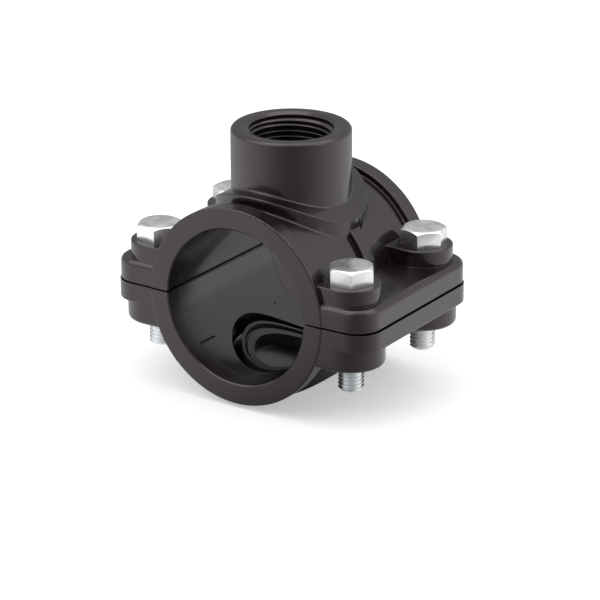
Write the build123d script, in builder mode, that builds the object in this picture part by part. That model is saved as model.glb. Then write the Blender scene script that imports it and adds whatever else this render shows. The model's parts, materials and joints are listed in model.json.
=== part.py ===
"""Tapping saddle: two moulded half shells clamped round a pipe by four hex screws.

Frame: origin on the pipe axis at mid length, +Y along the pipe, +Z up through the
threaded branch, +X across the flanges.  All lengths are in millimetres.
"""
from build123d import *
import math
import os

os.makedirs("parts", exist_ok=True)

# ---- pipe bore and hub -------------------------------------------------------------
pipe_d = 50.0                  # outside diameter of the pipe that is clamped
bore_clearance = 0.1           # radial, between pipe and closed saddle
shell_wall = 4.9               # between the ribs
ring_wall = 6.7                # at the two end rings
ring_width = 6.0
rib_rise = 1.5                 # middle rib above the shell
rib_width = 5.6
parting_gap = 0.6              # left between the two halves when they are tight
parting_step = 0.35            # inner parting edges set back by this, both ways
edge_break = 0.5               # rounding of the ring, shell and rib edges
bore_chamfer = 0.4
bore_relief = 0.05             # radial, so that the end rings alone take the pipe
relief_end_land = 0.3          # relief stops this far inside the end rings

# ---- threaded branch, ISO 228 G 3/4 ------------------------------------------------
thread_major_d = 26.44
thread_depth = 19.0
thread_lead_in = 1.8           # radial width of the countersink at the mouth
lead_in_depth = 0.6
tap_hole_d = 22.0              # passage that the pipe is drilled through
branch_wall = 5.6              # outside the thread
branch_height = 25.0           # above the top of the pipe bore
branch_rim_r = 1.3
branch_foot_r = 0.7
pad_land = 4.7                 # saddle pad round the foot of the branch
pad_rise = 3.6                 # pad above the shell
pad_edge_r = 0.4
pad_foot_r = 0.7
pad_to_ring = 1.98             # from the pad's wall to the end rings
under_pad_r = 21.0             # round pad under the lower half
under_pad_rise = 3.0

# ---- seal ring and its seat, the same in both halves --------------------------------
seal_outer_r = 16.6
seal_width = 4.0               # radial, from the seal's hole to its outside
seal_inner_lip = 2.3           # radial width of the inner lip
seal_outer_lip = 0.9
seal_groove_depth = 1.3        # below the outer lip
seal_inner_lip_drop = 0.6      # inner lip below the outer lip
seal_set_back = 0.3            # outer lip below the bore surface
seat_clearance = 2.4           # radial, round the seal
lower_seal_shift = 1.2         # the lower ring lies loose, this far along the pipe
seat_depth = 4.5               # below the bore surface

# ---- marks of the mould in the bore of the lower half --------------------------------
seam_half_width = 18.0         # groove round the front end of the mould's insert
seam_width = 0.4
seam_depth = 0.4
seam_side_length = 8.0         # along the pipe
gate_mark_r = 0.35             # injection point
gate_mark_depth = 0.6
gate_mark_y = 17.0
gate_mark_angle = 45.5         # about the pipe, from straight down towards -X

# ---- hex screws M8 x 35 and their nuts ----------------------------------------------
screw_d = 8.0
screw_length = 35.0
hex_af = 13.0
head_height = 5.3
nut_height = 6.5
hex_chamfer_angle = 30.0
hex_face_share = 0.95          # flat round face against the width across flats
screw_tip_chamfer = 1.0
screw_hole_clearance = 0.5     # radial
nut_thread_clearance = 0.05    # radial
nut_pocket_clearance = 0.1     # each side of the hexagon
nut_recess = 0.3               # nut below the face of its boss
screw_to_ring = 3.8            # screw axis outside the end ring
screw_to_end = 10.8            # screw axis inside the end face
head_turns = {"front_right": 3.7, "back_right": -13.8, "front_left": -9.8, "back_left": 21.0}
nut_turn = 0.0

# ---- flanges and bosses ----------------------------------------------------------------
flange_margin = 11.7           # flange edge outside the screw axis
flange_set_back = 0.3          # flange ends inside the end faces of the rings
upper_flange_t = 7.1
lower_flange_t = 6.2
lower_overhang = 0.4           # lower flange wider than the upper, each side
flange_corner_r = 8.0
upper_flange_edge_r = 2.0
lower_flange_edge_r = 0.6
head_land = 1.7                # boss round the screw head's corners
upper_boss_rise = 5.3
upper_boss_edge_r = 0.5
nut_wall = 2.9                 # boss round the nut pocket's corners
lower_boss_rise = 6.9
lower_boss_edge_r = 1.5

# ---- sizes that follow ---------------------------------------------------------------------
bore_r = pipe_d / 2 + bore_clearance
shell_r = bore_r + shell_wall
ring_r = bore_r + ring_wall
rib_r = shell_r + rib_rise
half_gap = parting_gap / 2

branch_r = thread_major_d / 2 + branch_wall
branch_top = bore_r + branch_height
pad_r = branch_r + pad_land
pad_top_r = shell_r + pad_rise
half_length = pad_r + pad_to_ring + ring_width
hub_length = 2 * half_length
under_pad_top_r = shell_r + under_pad_rise

seal_hole_r = seal_outer_r - seal_width
seat_r = seal_outer_r + seat_clearance
seat_floor_r = bore_r + seat_depth
seal_lip_r = bore_r + seal_set_back
relief_half_length = half_length - ring_width - relief_end_land

screw_x = ring_r + screw_to_ring
screw_y = half_length - screw_to_end
screw_hole_r = screw_d / 2 + screw_hole_clearance
corner_factor = 2 / math.sqrt(3)
upper_boss_r = hex_af / 2 * corner_factor + head_land
nut_pocket_af = hex_af + 2 * nut_pocket_clearance
lower_boss_r = nut_pocket_af / 2 * corner_factor + nut_wall

upper_flange_top = half_gap + upper_flange_t
upper_boss_top = upper_flange_top + upper_boss_rise
lower_flange_bottom = -(half_gap + lower_flange_t)
lower_boss_bottom = lower_flange_bottom - lower_boss_rise
nut_bottom = lower_boss_bottom + nut_recess
nut_top = nut_bottom + nut_height
flange_half_width = screw_x + flange_margin
flange_length = hub_length - 2 * flange_set_back

corners = {
    "front_right": (screw_x, -screw_y),
    "back_right": (screw_x, screw_y),
    "front_left": (-screw_x, -screw_y),
    "back_left": (-screw_x, screw_y),
}


def save(piece, name):
    """Label a finished piece and write its STEP file."""
    piece.label = name
    export_step(piece, f"parts/{name}.step")


def round_bar(radius, half_span):
    """Bar of the given radius along the pipe axis."""
    with BuildPart() as bar:
        with BuildSketch(Plane.XZ):
            Circle(radius)
        extrude(amount=half_span, both=True)
    return bar.part


def hub_solid():
    """Solid hub turned about the pipe axis: the shell between two end rings."""
    ring_start = half_length - ring_width
    back_end = [(0, half_length), (ring_r, half_length), (ring_r, ring_start), (shell_r, ring_start)]
    front_end = [(r, -y) for r, y in reversed(back_end)]
    with BuildPart() as hub:
        with BuildSketch(Plane.XY) as profile:
            with BuildLine():
                Polyline(*back_end, *front_end, close=True)
            make_face()
            fillet(profile.vertices().filter_by(lambda v: v.X > 1), edge_break)
        revolve(axis=Axis.Y)
    return hub.part


def middle_rib():
    """Rib round the middle of the shell."""
    with BuildPart() as rib:
        with BuildSketch(Plane.XY) as profile:
            with Locations(((bore_r + rib_r) / 2, 0)):
                Rectangle(rib_r - bore_r, rib_width)
            fillet(profile.vertices().group_by(Axis.X)[-1], edge_break)
        revolve(axis=Axis.Y)
    return rib.part


def saddle_pad(radius, top_r):
    """Vertical round pad whose face follows the pipe at top_r."""
    with BuildPart() as pad:
        with BuildSketch():
            Circle(radius)
        extrude(amount=top_r)
        add(round_bar(top_r, radius + 1), mode=Mode.INTERSECT)
    return pad.part


def bore_cut():
    """Pipe bore, chamfered at both ends, relieved between the rings, stepped at the parting."""
    mouth_r = bore_r + bore_chamfer
    relief_r = bore_r + bore_relief
    back_end = [(mouth_r, half_length), (bore_r, half_length - bore_chamfer), (bore_r, relief_half_length)]
    front_end = [(r, -y) for r, y in reversed(back_end)]
    relief = [(relief_r, relief_half_length), (relief_r, -relief_half_length)]
    with BuildPart() as cut:
        with BuildSketch(Plane.XY):
            with BuildLine():
                Polyline((0, half_length), *back_end, *relief, *front_end, (0, -half_length), close=True)
            make_face()
        revolve(axis=Axis.Y)
        with BuildSketch(Plane.XZ):
            Rectangle(2 * (bore_r + parting_step), parting_gap + 2 * parting_step)
        extrude(amount=half_length, both=True)
    return cut.part


def seat_cut():
    """Round seat of the seal, upwards from the axis."""
    with BuildPart() as seat:
        with BuildSketch():
            Circle(seat_r)
        extrude(amount=pipe_d)
        add(round_bar(seat_floor_r, half_length), mode=Mode.INTERSECT)
    return seat.part


def insert_seam():
    """Narrow groove round the front end of the mould's insert, downwards from the axis."""
    side_x = seam_half_width - seam_width / 2
    front_y = -relief_half_length
    with BuildPart() as seam:
        with BuildSketch():
            with Locations((0, front_y + seam_width / 2)):
                Rectangle(2 * seam_half_width, seam_width)
            with Locations((side_x, front_y + seam_side_length / 2), (-side_x, front_y + seam_side_length / 2)):
                Rectangle(seam_width, seam_side_length)
        extrude(amount=-pipe_d)
        add(round_bar(bore_r + seam_depth, half_length), mode=Mode.INTERSECT)
    return seam.part


def gate_mark():
    """Small round dimple left in the bore where the lower half was filled."""
    angle = math.radians(gate_mark_angle)
    outwards = Plane(origin=(0, gate_mark_y, 0), z_dir=(-math.sin(angle), 0, -math.cos(angle)))
    with BuildPart() as mark:
        with BuildSketch(outwards.offset(shell_r / 2)):
            Circle(gate_mark_r)
        extrude(amount=bore_r + bore_relief + gate_mark_depth - shell_r / 2)
    return mark.part


def branch_cut():
    """Passage to the pipe, threaded bore at its major diameter, and its lead-in."""
    thread_r = thread_major_d / 2
    thread_low = branch_top - thread_depth
    mouth_r = thread_r + thread_lead_in
    with BuildPart() as cut:
        with BuildSketch(Plane.XZ):
            with BuildLine():
                Polyline(
                    (0, 0), (tap_hole_d / 2, 0), (tap_hole_d / 2, thread_low), (thread_r, thread_low),
                    (thread_r, branch_top - lead_in_depth), (mouth_r, branch_top), (0, branch_top),
                    close=True,
                )
            make_face()
        revolve(axis=Axis.Z)
    return cut.part


def seal_ring():
    """Moulded rubber ring with two lips, bent to the pipe, upwards from the axis."""
    groove_low_r = seal_lip_r + seal_groove_depth
    inner_lip_r = seal_lip_r + seal_inner_lip_drop
    with BuildPart() as ring:
        with BuildSketch():
            Circle(seal_outer_r)
            Circle(seal_hole_r, mode=Mode.SUBTRACT)
        extrude(amount=pipe_d)
        add(round_bar(seat_floor_r, half_length), mode=Mode.INTERSECT)
        add(round_bar(seal_lip_r, half_length), mode=Mode.SUBTRACT)
    with BuildPart() as inner_drop:
        with BuildSketch():
            Circle(seal_hole_r + seal_inner_lip)
        extrude(amount=pipe_d)
        add(round_bar(inner_lip_r, half_length), mode=Mode.INTERSECT)
    with BuildPart() as groove:
        with BuildSketch():
            Circle(seal_outer_r - seal_outer_lip)
            Circle(seal_hole_r + seal_inner_lip, mode=Mode.SUBTRACT)
        extrude(amount=pipe_d)
        add(round_bar(groove_low_r, half_length), mode=Mode.INTERSECT)
    return ring.part - inner_drop.part - groove.part


def boss_block(x, y, radius, z_face, z_seat, edge_r):
    """Boss round one screw, carried inwards to the hub by a block of its own width."""
    reach = abs(x) - bore_r
    with BuildPart() as boss:
        with BuildSketch(Plane.XY.offset(z_seat)):
            with Locations((x, y)):
                Circle(radius)
            with Locations((x - math.copysign(reach / 2, x), y)):
                Rectangle(reach, 2 * radius)
        extrude(amount=z_face - z_seat)
        face = boss.faces().filter_by(Axis.Z).sort_by(Axis.Z)[-1 if z_face > z_seat else 0]
        fillet(face.edges(), edge_r)
    return boss.part


def flange_plate(half_width, z_parting, z_face, edge_r):
    """Flange of one half, rounded at the corners and round its outer face."""
    with BuildPart() as flange:
        with BuildSketch(Plane.XY.offset(z_parting)):
            RectangleRounded(2 * half_width, flange_length, flange_corner_r)
        extrude(amount=z_face - z_parting)
        face = flange.faces().filter_by(Axis.Z).sort_by(Axis.Z)[-1 if z_face > z_parting else 0]
        fillet(face.edges(), edge_r)
    return flange.part


def round_edges(edges, radius, above):
    """Edges that run at the given radius from the branch axis, higher than a given height."""
    def on_radius(edge):
        middle = edge @ 0.5
        start = edge @ 0
        at_middle = abs(math.hypot(middle.X, middle.Y) - radius) < 0.01
        at_start = abs(math.hypot(start.X, start.Y) - radius) < 0.01
        return at_middle and at_start and middle.Z > above
    return edges.filter_by(on_radius)


def at_screws(radius):
    """Circles at the four screw axes, for a sketch."""
    with BuildSketch(mode=Mode.PRIVATE) as holes:
        with Locations(*corners.values()):
            Circle(radius)
    return holes.sketch


def hex_chamfer(height, chamfer_seat):
    """Turned form that breaks the corners of a hexagon at its face, and at its seat if asked."""
    corner_r = hex_af / 2 * corner_factor
    face_r = hex_af / 2 * hex_face_share
    drop = (corner_r - face_r) * math.tan(math.radians(hex_chamfer_angle))
    seat = [(face_r, 0), (corner_r, drop)] if chamfer_seat else [(corner_r, 0)]
    with BuildPart() as turned:
        with BuildSketch(Plane.XZ):
            with BuildLine():
                Polyline((0, 0), *seat, (corner_r, height - drop), (face_r, height), (0, height), close=True)
            make_face()
        revolve(axis=Axis.Z)
    return turned.part


# ---- upper saddle: the half with the threaded branch ---------------------------------------
with BuildPart() as branch_boss:
    add(saddle_pad(pad_r, pad_top_r))
    fillet(round_edges(branch_boss.edges(), pad_r, above=0), pad_edge_r)
    with BuildSketch():
        Circle(branch_r)
    extrude(amount=branch_top)
    fillet(round_edges(branch_boss.edges(), branch_r, above=branch_top - 1), branch_rim_r)
    fillet(round_edges(branch_boss.edges(), branch_r, above=0), branch_foot_r)
    add(hub_solid())
    fillet(round_edges(branch_boss.edges(), pad_r, above=0), pad_foot_r)

with BuildPart() as upper_saddle:
    add(branch_boss.part)
    add(middle_rib())
    split(bisect_by=Plane.XY.offset(half_gap), keep=Keep.TOP)
    add(flange_plate(flange_half_width, half_gap, upper_flange_top, upper_flange_edge_r))
    for boss_x, boss_y in corners.values():
        add(boss_block(boss_x, boss_y, upper_boss_r, upper_boss_top, half_gap, upper_boss_edge_r))
    add(bore_cut(), mode=Mode.SUBTRACT)
    add(seat_cut(), mode=Mode.SUBTRACT)
    add(branch_cut(), mode=Mode.SUBTRACT)
    add(at_screws(screw_hole_r))
    extrude(amount=upper_boss_top, mode=Mode.SUBTRACT)
save(upper_saddle.part, "upper_saddle")

# ---- lower saddle: the half with the nut pockets --------------------------------------------
with BuildPart() as lower_saddle:
    add(hub_solid())
    add(middle_rib())
    add(saddle_pad(under_pad_r, under_pad_top_r), rotation=(180, 0, 0))
    split(bisect_by=Plane.XY.offset(-half_gap), keep=Keep.BOTTOM)
    add(flange_plate(flange_half_width + lower_overhang, -half_gap, lower_flange_bottom, lower_flange_edge_r))
    for boss_x, boss_y in corners.values():
        add(boss_block(boss_x, boss_y, lower_boss_r, lower_boss_bottom, -half_gap, lower_boss_edge_r))
    add(bore_cut(), mode=Mode.SUBTRACT)
    add(seat_cut(), rotation=(180, 0, 0), mode=Mode.SUBTRACT)
    add(insert_seam(), mode=Mode.SUBTRACT)
    add(gate_mark(), mode=Mode.SUBTRACT)
    add(at_screws(screw_hole_r))
    extrude(amount=lower_boss_bottom, mode=Mode.SUBTRACT)
    with BuildSketch(Plane.XY.offset(lower_boss_bottom)):
        with Locations(*corners.values()):
            RegularPolygon(nut_pocket_af / 2, 6, major_radius=False, rotation=nut_turn)
    extrude(amount=nut_top - lower_boss_bottom, mode=Mode.SUBTRACT)
save(lower_saddle.part, "lower_saddle")

# ---- seal rings -------------------------------------------------------------------------------
seal = seal_ring()
save(seal, "branch_seal")
save(Plane(origin=(0, lower_seal_shift, 0), z_dir=(0, 0, -1)).location * seal, "lower_seal")

# ---- hex screws and nuts ------------------------------------------------------------------------
with BuildPart() as screw:
    with BuildSketch():
        RegularPolygon(hex_af / 2, 6, major_radius=False)
    extrude(amount=head_height)
    add(hex_chamfer(head_height, chamfer_seat=False), mode=Mode.INTERSECT)
    with BuildSketch():
        Circle(screw_d / 2)
    extrude(amount=-screw_length)
    chamfer(screw.faces().sort_by(Axis.Z)[0].edges(), screw_tip_chamfer)

with BuildPart() as nut:
    with BuildSketch():
        RegularPolygon(hex_af / 2, 6, major_radius=False)
        Circle(screw_d / 2 + nut_thread_clearance, mode=Mode.SUBTRACT)
    extrude(amount=nut_height)
    add(hex_chamfer(nut_height, chamfer_seat=True), mode=Mode.INTERSECT)

for place, (x, y) in corners.items():
    head_seat = Plane(origin=(x, y, upper_boss_top)).rotated((0, 0, head_turns[place]))
    nut_seat = Plane(origin=(x, y, nut_bottom)).rotated((0, 0, nut_turn))
    save(screw.part.moved(head_seat.location), f"screw_{place}")
    save(nut.part.moved(nut_seat.location), f"nut_{place}")
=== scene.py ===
# %% [markdown]
# # A tapping saddle in Blender
# A tapping saddle clamps round a water pipe, so that a branch can be led off it. Its two
# moulded halves, seals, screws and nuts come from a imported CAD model, which is a fixed
# frame here: nothing in it is moved or reshaped. The solids leave out the screw threads.
# This lesson models them, and then gives every part its finish, its light and a camera.

# %% Open the frame
import bpy
import json
import math
from mathutils import Matrix, Vector


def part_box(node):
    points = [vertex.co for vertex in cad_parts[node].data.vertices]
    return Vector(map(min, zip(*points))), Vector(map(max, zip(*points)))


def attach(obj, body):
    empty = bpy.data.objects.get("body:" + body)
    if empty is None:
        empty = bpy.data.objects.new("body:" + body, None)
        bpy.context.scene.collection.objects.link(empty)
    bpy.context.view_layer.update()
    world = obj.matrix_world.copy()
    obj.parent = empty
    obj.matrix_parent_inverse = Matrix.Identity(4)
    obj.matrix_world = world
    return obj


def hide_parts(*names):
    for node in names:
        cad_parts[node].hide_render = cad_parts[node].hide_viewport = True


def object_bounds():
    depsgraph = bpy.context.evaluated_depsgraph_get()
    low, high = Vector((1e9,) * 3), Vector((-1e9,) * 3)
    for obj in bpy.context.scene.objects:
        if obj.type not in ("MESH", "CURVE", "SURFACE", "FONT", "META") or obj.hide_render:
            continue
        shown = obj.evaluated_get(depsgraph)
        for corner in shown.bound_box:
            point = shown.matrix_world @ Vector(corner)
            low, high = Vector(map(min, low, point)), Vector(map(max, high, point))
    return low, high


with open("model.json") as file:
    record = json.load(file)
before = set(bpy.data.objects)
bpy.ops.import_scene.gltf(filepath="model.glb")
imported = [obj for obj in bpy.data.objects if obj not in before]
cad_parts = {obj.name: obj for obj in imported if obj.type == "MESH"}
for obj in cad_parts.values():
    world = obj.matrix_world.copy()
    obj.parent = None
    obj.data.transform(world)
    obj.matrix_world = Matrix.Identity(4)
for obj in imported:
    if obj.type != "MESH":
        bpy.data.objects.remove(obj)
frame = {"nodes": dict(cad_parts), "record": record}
cad_low, cad_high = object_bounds()
MM = 0.001
print("CAD box in mm:", [round(v / MM, 2) for v in (*cad_low, *cad_high)])

# %% [markdown]
# ## Small helpers
# Operators act on whatever is selected, and the loaded frame arrives selected. So each
# step first makes its own piece the whole selection. Every finished piece ends with its
# place in its mesh, its doubles merged and its faces turned outwards, as a CAD part has.

# %% Helpers for selecting, applying and finishing
CORNERS = ("front_right", "back_right", "front_left", "back_left")


def select_only(*pieces):
    """Select these pieces alone, and make the first one active."""
    bpy.ops.object.select_all(action="DESELECT")
    for piece in pieces:
        piece.select_set(True)
    bpy.context.view_layer.objects.active = pieces[0]


def apply_modifier(piece, kind, **settings):
    """Add a modifier with these settings and apply it."""
    select_only(piece)
    modifier = piece.modifiers.new(kind.lower(), kind)
    for setting, value in settings.items():
        setattr(modifier, setting, value)
    bpy.ops.object.modifier_apply(modifier=modifier.name)


def carve(piece, cutter, operation):
    """Combine the piece with a cutter, which is then thrown away."""
    apply_modifier(piece, "BOOLEAN", object=cutter, operation=operation, solver="EXACT")
    bpy.data.objects.remove(cutter)


def select_points(piece, wanted):
    """In edit mode, select the points whose place passes the test, and nothing else."""
    bpy.ops.object.mode_set(mode="EDIT")
    bpy.ops.mesh.select_mode(type="VERT")
    bpy.ops.mesh.select_all(action="DESELECT")
    bpy.ops.object.mode_set(mode="OBJECT")
    for point in piece.data.vertices:
        point.select = bool(wanted(point.co))
    bpy.ops.object.mode_set(mode="EDIT")


def settle(piece, name):
    """Name the piece, put its place in its mesh and turn its faces outwards."""
    select_only(piece)
    piece.name = piece.data.name = name
    bpy.ops.object.transform_apply(location=True, rotation=True, scale=True)
    bpy.ops.object.mode_set(mode="EDIT")
    bpy.ops.mesh.select_all(action="SELECT")
    bpy.ops.mesh.remove_doubles(threshold=1e-7)
    bpy.ops.mesh.normals_make_consistent(inside=False)
    bpy.ops.object.mode_set(mode="OBJECT")
    bpy.ops.object.shade_smooth_by_angle(angle=math.radians(32))
    return piece


# %% [markdown]
# ## Where things are
# The sizes are measured on the frame, so the threads fit the parts that carry them. A nut
# is a plain hexagon, so the middle of its box is the screw's axis. A head can sit at any
# turn, so its turn is read from the corner that stands furthest from that axis.

# %% Measure the screws and the branch
def middle(box_of_part):
    return (box_of_part[0] + box_of_part[1]) / 2


def corner_angle(node, axis_at, radius):
    """Angle of one corner of a hexagon, from +X, between 0 and 60 degrees."""
    spread = [(p.co.xy - axis_at.xy) for p in frame["nodes"][node].data.vertices]
    furthest = max(spread, key=lambda s: s.length)
    assert abs(furthest.length - radius) < 0.1 * MM
    return math.atan2(furthest.y, furthest.x) % math.radians(60)


HEX_CORNER_R = 13 * MM / math.sqrt(3)
screw_axis = {corner: middle(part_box("nut_" + corner)) for corner in CORNERS}
head_turn = {c: corner_angle("screw_" + c, screw_axis[c], HEX_CORNER_R) for c in CORNERS}
tip_z, head_top_z = (end.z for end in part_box("screw_front_right"))
branch = next(m for m in frame["record"]["mounts"] if m["name"] == "branch_thread")
branch_r = branch["dims"]["r_mm"] * MM
branch_low_z = branch["pos_m"][2] - branch["dims"]["length_mm"] * MM / 2
branch_high_z = branch["pos_m"][2] + branch["dims"]["length_mm"] * MM / 2
print("screw axes:", {c: [round(v / MM, 2) for v in a.xy] for c, a in screw_axis.items()})
print("head turns:", {c: round(math.degrees(t), 1) for c, t in head_turn.items()})
print("branch thread from", round(branch_low_z / MM, 2), "to", round(branch_high_z / MM, 2))

# %% [markdown]
# ## One ridge for every thread
# A thread is a ridge wound round a core, or round the inside of a hole. Its section is a
# trapezium with a rounded crest. A plane is added at the ridge's radius, its crest edge is
# narrowed and its crest corners are rounded. The Screw modifier then winds the outline up
# the axis, and the two open ends are filled. The thread is right-handed, as on real ones.

# %% Wind a thread ridge
def thread_ridge(foot_r, crest_r, foot_width, crest_width, crest_round, pitch, low, high, steps):
    """Closed ridge round Z, from low to at least high."""
    bpy.ops.object.select_all(action="DESELECT")
    bpy.ops.mesh.primitive_plane_add(
        size=1, location=((foot_r + crest_r) / 2, 0, low), rotation=(math.pi / 2, 0, 0))
    ridge = bpy.context.object
    ridge.scale = (abs(foot_r - crest_r), foot_width, 1)
    bpy.ops.object.transform_apply(location=True, rotation=True, scale=True)
    select_points(ridge, lambda p: abs(p.x - crest_r) < 1e-6)
    bpy.ops.transform.resize(value=(1, 1, crest_width / foot_width), center_override=(crest_r, 0, low))
    bpy.ops.mesh.bevel(offset=crest_round, segments=3, affect="VERTICES")
    bpy.ops.mesh.select_all(action="SELECT")
    bpy.ops.mesh.delete(type="ONLY_FACE")
    bpy.ops.object.mode_set(mode="OBJECT")
    apply_modifier(
        ridge, "SCREW", axis="Z", angle=2 * math.pi, screw_offset=pitch,
        iterations=math.ceil((high - low) / pitch), steps=steps, render_steps=steps)
    bpy.ops.object.mode_set(mode="EDIT")
    bpy.ops.mesh.select_all(action="SELECT")
    bpy.ops.mesh.fill_holes(sides=0)
    bpy.ops.mesh.normals_make_consistent(inside=False)
    bpy.ops.object.mode_set(mode="OBJECT")
    return ridge


def frustum(low_r, high_r, low, high, sides=128):
    """Cone cut off at both ends, round Z."""
    bpy.ops.object.select_all(action="DESELECT")
    bpy.ops.mesh.primitive_cone_add(
        vertices=sides, radius1=low_r, radius2=high_r, depth=high - low,
        location=(0, 0, (low + high) / 2))
    bpy.ops.object.transform_apply(location=True, rotation=True, scale=True)
    return bpy.context.object


# %% [markdown]
# ## The thread in the branch
# The branch takes a male G 3/4 pipe thread, 14 turns to the inch with 55 degree flanks. The
# solid has a plain bore at the root of that thread, so the ridge stands inwards from its
# wall, sunk a little into it. It starts below the bore's floor, where the plastic hides its
# end. Near the mouth a 45 degree cone cuts the ridge back, so that it starts below the lead-in.

# %% Thread of the branch
PIPE_PITCH = 25.4 / 14 * MM
PIPE_DEPTH = 0.6403 * PIPE_PITCH
FLANK = math.tan(math.radians(27.5))
SUNK = 0.04 * MM
CREST_ROUND = 0.1 * MM
UNTHREADED = 1.2 * MM
crest_width = PIPE_PITCH / 6
foot_width = crest_width + 2 * (PIPE_DEPTH + SUNK) * FLANK
branch_ridge = thread_ridge(
    branch_r + SUNK, branch_r - PIPE_DEPTH, foot_width, crest_width,
    CREST_ROUND, PIPE_PITCH, branch_low_z - PIPE_PITCH, cad_high.z, 72)
cone_drop, cone_rise = 2 * MM, 5 * MM
first_z = branch_high_z - UNTHREADED
lead_in = frustum(branch_r - cone_drop, branch_r + cone_rise, first_z - cone_drop, first_z + cone_rise)
carve(branch_ridge, lead_in, "DIFFERENCE")
settle(branch_ridge, "branch_thread_ridge")
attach(branch_ridge, "root")
print("branch ridge:", len(branch_ridge.data.polygons), "faces")

# %% [markdown]
# ## The screws
# The four screws are M8, 13 mm across flats, and threaded up to the head. In the solids they
# are plain bars with a hexagon on top. One better screw is made at the origin: a head cut
# from a six-sided cylinder by a 30 degree cone, a core with a pointed tip, and a ridge.

# %% Head of the screw
SCREW_R, SCREW_PITCH = 4 * MM, 1.25 * MM
HEAD_HEIGHT = 5.3 * MM
FACE_R = 0.95 * 6.5 * MM
HEAD_CHAMFER = math.radians(30)
HEAD_EDGE = 0.14 * MM
shank_length = head_top_z - HEAD_HEIGHT - tip_z
bpy.ops.object.select_all(action="DESELECT")
bpy.ops.mesh.primitive_cylinder_add(
    vertices=6, radius=HEX_CORNER_R, depth=HEAD_HEIGHT, location=(0, 0, HEAD_HEIGHT / 2))
head = bpy.context.object
bpy.ops.object.transform_apply(location=True)
first_corner = max((p.co for p in head.data.vertices), key=lambda p: p.x)
made_turn = math.atan2(first_corner.y, first_corner.x)
slope = HEAD_HEIGHT / math.tan(HEAD_CHAMFER)
carve(head, frustum(FACE_R + slope, FACE_R, 0, HEAD_HEIGHT), "INTERSECT")
apply_modifier(
    head, "BEVEL", width=HEAD_EDGE, segments=2, limit_method="ANGLE", angle_limit=math.radians(28))
print("head corner starts at", round(math.degrees(made_turn), 1), "degrees")

# %% Core and ridge of the screw
CORE_R = SCREW_R - 0.62 * SCREW_PITCH + 0.08 * MM
INTO_HEAD = 0.1 * MM
CORE_POINT = 0.35 * MM
RIDGE_SUNK = 0.03 * MM
RIDGE_FOOT = 0.98 * MM
TIP_CHAMFER = 0.9 * MM
core = frustum(CORE_R, CORE_R, -shank_length, INTO_HEAD, sides=48)
select_points(core, lambda p: p.z < -shank_length + 0.01 * MM)
bpy.ops.mesh.bevel(offset=CORE_POINT, segments=2, affect="EDGES")
bpy.ops.object.mode_set(mode="OBJECT")
ridge = thread_ridge(
    CORE_R - RIDGE_SUNK, SCREW_R, RIDGE_FOOT, SCREW_PITCH / 8, 0.03 * MM, SCREW_PITCH,
    -shank_length - SCREW_PITCH, 0, 40)
tip_r = SCREW_R - TIP_CHAMFER
reach = TIP_CHAMFER + 8 * MM
carve(ridge, frustum(tip_r, tip_r + reach, -shank_length, reach - shank_length), "INTERSECT")
select_only(head, core, ridge)
bpy.ops.object.join()
screw = bpy.context.object
print("one screw:", len(screw.data.polygons), "faces,", round(shank_length / MM, 1), "mm under the head")

# %% [markdown]
# Each screw is a copy with its own mesh, turned as its head is turned in the frame. It
# stands for the plain solid, which stays hidden in the model and keeps its place there.

# %% Place the four screws
for corner in CORNERS:
    select_only(screw)
    bpy.ops.object.duplicate(linked=False)
    placed = bpy.context.object
    placed.rotation_euler.z = head_turn[corner] - made_turn
    placed.location = (screw_axis[corner].x, screw_axis[corner].y, head_top_z - HEAD_HEIGHT)
    settle(placed, "threaded_screw_" + corner)
    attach(placed, "root")
    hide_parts("screw_" + corner)
bpy.data.objects.remove(screw)
print("screws placed:", len(CORNERS))

# %% [markdown]
# ## Finishes
# Each finish starts from one Principled shader. What is the same all over is set on its
# own sockets, and only what varies comes from nodes. The patterns read Object coordinates,
# in metres, so a scale of 1000 gives spots about a millimetre across.

# %% Helpers for the finishes
def new_finish(name, **sockets):
    """Material with a Principled shader whose sockets are set as given."""
    finish = bpy.data.materials.new(name)
    finish.use_nodes = True
    tree = finish.node_tree
    shader = next(n for n in tree.nodes if n.type == "BSDF_PRINCIPLED")
    for socket, value in sockets.items():
        shader.inputs[socket.replace("_", " ")].default_value = value
    place = tree.nodes.new("ShaderNodeTexCoord")
    return finish, tree, shader, place.outputs["Object"]


def noise(tree, place, scale, detail=2.0, roughness=0.5):
    """Noise pattern on the object's own place."""
    pattern = tree.nodes.new("ShaderNodeTexNoise")
    pattern.inputs["Scale"].default_value = scale
    pattern.inputs["Detail"].default_value = detail
    pattern.inputs["Roughness"].default_value = roughness
    tree.links.new(place, pattern.inputs["Vector"])
    return pattern.outputs["Fac"]


def blend_colours(tree, factor, first, second, low=0.35, high=0.65):
    """Colour that runs from first to second as the factor goes from low to high."""
    ramp = tree.nodes.new("ShaderNodeValToRGB")
    ramp.color_ramp.elements[0].position = low
    ramp.color_ramp.elements[0].color = (*first, 1)
    ramp.color_ramp.elements[1].position = high
    ramp.color_ramp.elements[1].color = (*second, 1)
    tree.links.new(factor, ramp.inputs["Fac"])
    return ramp.outputs["Color"]


def remap(tree, factor, low, high, from_low=0.3, from_high=0.7):
    """Value that runs from low to high as the factor goes from from_low to from_high."""
    span = tree.nodes.new("ShaderNodeMapRange")
    span.inputs["From Min"].default_value = from_low
    span.inputs["From Max"].default_value = from_high
    span.inputs["To Min"].default_value = low
    span.inputs["To Max"].default_value = high
    tree.links.new(factor, span.inputs["Value"])
    return span.outputs["Result"]


def maths(tree, operation, first, second):
    """One sum on two values, each of them a socket or a number."""
    step = tree.nodes.new("ShaderNodeMath")
    step.operation = operation
    for value, socket in zip((first, second), step.inputs):
        if isinstance(value, float):
            socket.default_value = value
        else:
            tree.links.new(value, socket)
    return step.outputs["Value"]


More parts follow.
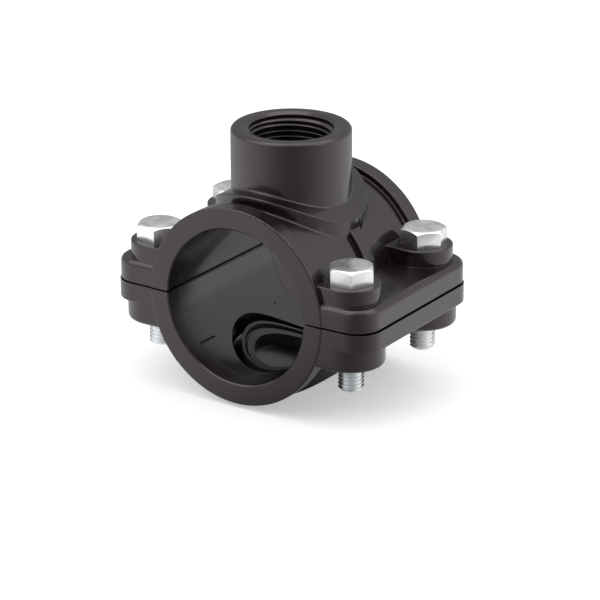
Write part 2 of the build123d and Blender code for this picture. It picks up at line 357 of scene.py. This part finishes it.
def bump(tree, height, depth, before=None):
    """Bump of this depth in metres, on top of another one if given."""
    relief = tree.nodes.new("ShaderNodeBump")
    relief.inputs["Distance"].default_value = depth
    tree.links.new(height, relief.inputs["Height"])
    if before:
        tree.links.new(before, relief.inputs["Normal"])
    return relief.outputs["Normal"]


def soft_edges(tree, radius):
    """Normal that runs round sharp edges as if they were broken by a small radius."""
    edges = tree.nodes.new("ShaderNodeBevel")
    edges.samples = 6
    edges.inputs["Radius"].default_value = radius
    return edges.outputs["Normal"]


# %% [markdown]
# ## Moulded black plastic
# The halves are filled polypropylene, black with a little warmth, with the satin skin that
# a plain steel mould leaves. The skin isn't quite even: it is cloudy where the melt flowed,
# and has a very fine grain. The moulded edges are just broken, and catch a thin line of light.

# %% Finish of the halves and of the branch thread
plastic, tree, shader, place = new_finish(
    "black_polypropylene", IOR=1.5, Specular_IOR_Level=0.72, Specular_Tint=(1.0, 0.9, 0.96, 1))
clouds = noise(tree, place, 45, detail=3)
grain = noise(tree, place, 2600, detail=3, roughness=0.6)
waves = noise(tree, place, 130, detail=1)
colour = blend_colours(tree, clouds, (0.007, 0.0045, 0.0058), (0.010, 0.0068, 0.0085))
tree.links.new(colour, shader.inputs["Base Color"])
tree.links.new(remap(tree, clouds, 0.15, 0.21), shader.inputs["Roughness"])
edges = soft_edges(tree, 0.25 * MM)
skin = bump(tree, waves, 0.02 * MM, before=edges)
tree.links.new(bump(tree, grain, 0.004 * MM, before=skin), shader.inputs["Normal"])
for node in ("upper_saddle", "lower_saddle"):
    frame["nodes"][node].material_slots[0].material = plastic
branch_ridge.data.materials.clear()
branch_ridge.data.materials.append(plastic)
print("plastic on", [n for n in frame["nodes"] if n.endswith("saddle")], "and the branch thread")

# %% [markdown]
# ## Seal rubber
# The rings are soft black rubber. Rubber is darker and much more matt than the plastic, and
# its fine grain comes from a blasted mould.

# %% Finish of the seals
rubber, tree, shader, place = new_finish("seal_ring_rubber", IOR=1.5)
bloom = noise(tree, place, 90, detail=4)
grain = noise(tree, place, 3200, detail=2)
colour = blend_colours(tree, bloom, (0.020, 0.019, 0.020), (0.034, 0.033, 0.035))
tree.links.new(colour, shader.inputs["Base Color"])
tree.links.new(remap(tree, bloom, 0.34, 0.44), shader.inputs["Roughness"])
edges = soft_edges(tree, 0.3 * MM)
tree.links.new(bump(tree, grain, 0.006 * MM, before=edges), shader.inputs["Normal"])
for node in ("branch_seal", "lower_seal"):
    frame["nodes"][node].material_slots[0].material = rubber
print("rubber on the two seals")

# %% [markdown]
# ## Bright zinc
# The screws and nuts are steel with a thin bright zinc coat. It is a metal with a pale grey
# colour, slightly cloudy, and smooth enough to mirror what is near in soft patches.

# %% Finish of the screws and nuts
zinc, tree, shader, place = new_finish("bright_zinc", Metallic=1.0)
clouds = noise(tree, place, 260, detail=3)
pits = noise(tree, place, 2400, detail=2)
colour = blend_colours(tree, clouds, (0.82, 0.84, 0.86), (0.92, 0.93, 0.93))
tree.links.new(colour, shader.inputs["Base Color"])
tree.links.new(remap(tree, clouds, 0.24, 0.38), shader.inputs["Roughness"])
edges = soft_edges(tree, 0.15 * MM)
tree.links.new(bump(tree, pits, 0.005 * MM, before=edges), shader.inputs["Normal"])
for corner in CORNERS:
    frame["nodes"]["nut_" + corner].material_slots[0].material = zinc
    placed = bpy.data.objects["threaded_screw_" + corner]
    placed.data.materials.clear()
    placed.data.materials.append(zinc)
print("zinc on four screws and four nuts")

# %% [markdown]
# ## Floor and surroundings
# Black satin plastic shows its shape only by what it mirrors. It stands as in a light tent,
# with white walls on two sides and the openings before and behind it. The world is white to
# the camera, has those walls in reflections, and lights the rest at a lower, plain level.
# The floor is pale and keeps the object's soft shadow. In reflections the tent's light is painted into
# its colour and glow, brighter towards the walls and darker towards the openings.

# %% What is seen, and how bright the tent is
OPENING_BEARING = math.radians(37)
WALL_LIGHT, OPENING_LIGHT = 0.98, 0.30
WORLD_LIGHT = 0.55
FLOOR_COLOUR, FLOOR_GLOW = 0.8, 0.40


def seen_directly(tree):
    """1 for what is seen, in a reflection or through glass too, and 0 for light on the object."""
    path = tree.nodes.new("ShaderNodeLightPath")
    seen = maths(tree, "MAXIMUM", path.outputs["Is Camera Ray"], path.outputs["Is Glossy Ray"])
    return maths(tree, "MAXIMUM", seen, path.outputs["Is Transmission Ray"])


def tent(tree, place):
    """1, but in reflections bright at the two walls and darker at the two openings; on the world this is
    light, on the floor it is painted light.
    """
    heading = tree.nodes.new("ShaderNodeVectorMath")
    heading.operation = "NORMALIZE"
    tree.links.new(place, heading.inputs[0])
    along = tree.nodes.new("ShaderNodeVectorMath")
    along.operation = "DOT_PRODUCT"
    along.inputs[1].default_value = (math.sin(OPENING_BEARING), -math.cos(OPENING_BEARING), 0)
    tree.links.new(heading.outputs["Vector"], along.inputs[0])
    squared = maths(tree, "MULTIPLY", along.outputs["Value"], along.outputs["Value"])
    mirrored = tree.nodes.new("ShaderNodeMix")
    mirrored.inputs["A"].default_value = 1.0
    path = tree.nodes.new("ShaderNodeLightPath")
    tree.links.new(path.outputs["Is Glossy Ray"], mirrored.inputs["Factor"])
    tree.links.new(remap(tree, squared, WALL_LIGHT, OPENING_LIGHT, 0.0, 1.0), mirrored.inputs["B"])
    return mirrored.outputs["Result"]


print("tent: walls", WALL_LIGHT, "and openings", OPENING_LIGHT)

# %% Floor
bpy.ops.object.select_all(action="DESELECT")
bpy.ops.mesh.primitive_plane_add(size=6, location=(0, 0, cad_low.z))
floor = bpy.context.object
floor.name = "floor"
paper = bpy.data.materials.new("floor_paper")
paper.use_nodes = True
tree = paper.node_tree
tree.nodes.clear()
output = tree.nodes.new("ShaderNodeOutputMaterial")
both = tree.nodes.new("ShaderNodeAddShader")
diffuse = tree.nodes.new("ShaderNodeBsdfDiffuse")
glow = tree.nodes.new("ShaderNodeEmission")
# Painted light: seen in reflections, the floor's colour and glow follow the tent pattern, brighter
# towards the walls and darker towards the openings.
lit = tent(tree, tree.nodes.new("ShaderNodeTexCoord").outputs["Object"])
seen_glow = maths(tree, "MULTIPLY", seen_directly(tree), FLOOR_GLOW)
tree.links.new(maths(tree, "MULTIPLY", lit, FLOOR_COLOUR), diffuse.inputs["Color"])
tree.links.new(maths(tree, "MULTIPLY", seen_glow, lit), glow.inputs["Strength"])
tree.links.new(diffuse.outputs["BSDF"], both.inputs[0])
tree.links.new(glow.outputs["Emission"], both.inputs[1])
tree.links.new(both.outputs["Shader"], output.inputs["Surface"])
floor.data.materials.append(paper)
print("floor at", round(cad_low.z / MM, 1), "mm")

# %% World
world = bpy.data.worlds.new("studio")
bpy.context.scene.world = world
world.use_nodes = True
tree = world.node_tree
background = next(n for n in tree.nodes if n.type == "BACKGROUND")
background.inputs["Color"].default_value = (1, 1, 1, 1)
lit = tent(tree, tree.nodes.new("ShaderNodeTexCoord").outputs["Generated"])
level = remap(tree, seen_directly(tree), WORLD_LIGHT, 1.0, 0.0, 1.0)
tree.links.new(maths(tree, "MULTIPLY", level, lit), background.inputs["Strength"])
print("world is white to the camera, and", WORLD_LIGHT, "for light")

# %% [markdown]
# ## Lamps
# Two large soft boxes and a top light, as in a small product studio. Large lamps give soft
# shadows and broad highlights. Each one stands round the object and looks at its middle.

# %% Soft boxes
target = (cad_low + cad_high) / 2


def soft_box(name, azimuth, elevation, distance, size, power):
    """Square lamp at this bearing, in degrees, as the views count them."""
    turn, lift = math.radians(azimuth), math.radians(elevation)
    towards = Vector((math.sin(turn) * math.cos(lift), -math.cos(turn) * math.cos(lift), math.sin(lift)))
    lamp = bpy.data.objects.new(name, bpy.data.lights.new(name, "AREA"))
    lamp.data.energy = power
    lamp.data.size = size
    lamp.location = target + towards * distance
    lamp.rotation_euler = towards.to_track_quat("Z", "Y").to_euler()
    bpy.context.scene.collection.objects.link(lamp)


soft_box("key_box", -35, 50, 1.6, 1.7, 10)
soft_box("fill_box", 105, 38, 1.7, 1.5, 6)
soft_box("top_box", 180, 78, 1.6, 1.7, 9)
print("three soft boxes round", [round(v / MM, 1) for v in target])

# %% [markdown]
# ## Camera
# The camera stands a metre away, low enough to look into the pipe's bore and high enough to
# see the mouth of the branch. A long lens keeps the rings' circles nearly true.

# %% Camera
AZIMUTH, ELEVATION, ROLL = 33.725, 20.972, -0.149
DISTANCE, MOVED_RIGHT, MOVED_DOWN = 1.0, 2.58 * MM, 6.956 * MM
turn, lift, roll = (math.radians(v) for v in (AZIMUTH, ELEVATION, ROLL))
back = Vector((math.sin(turn) * math.cos(lift), -math.cos(turn) * math.cos(lift), math.sin(lift)))
level_right = Vector((math.cos(turn), math.sin(turn), 0))
level_up = back.cross(level_right)
right = math.cos(roll) * level_right + math.sin(roll) * level_up
up = back.cross(right)
camera = bpy.data.objects.new("camera", bpy.data.cameras.new("camera"))
camera.data.lens, camera.data.sensor_width = 191.25, 36
camera.data.clip_start, camera.data.clip_end = 0.05, 20
place = back * DISTANCE + right * MOVED_RIGHT - up * MOVED_DOWN
camera.matrix_world = Matrix.Translation(place) @ Matrix((right, up, back)).transposed().to_4x4()
bpy.context.scene.collection.objects.link(camera)
bpy.context.scene.camera = camera
bpy.context.scene.view_settings.view_transform = "Standard"
print("camera at", [round(v, 3) for v in place])
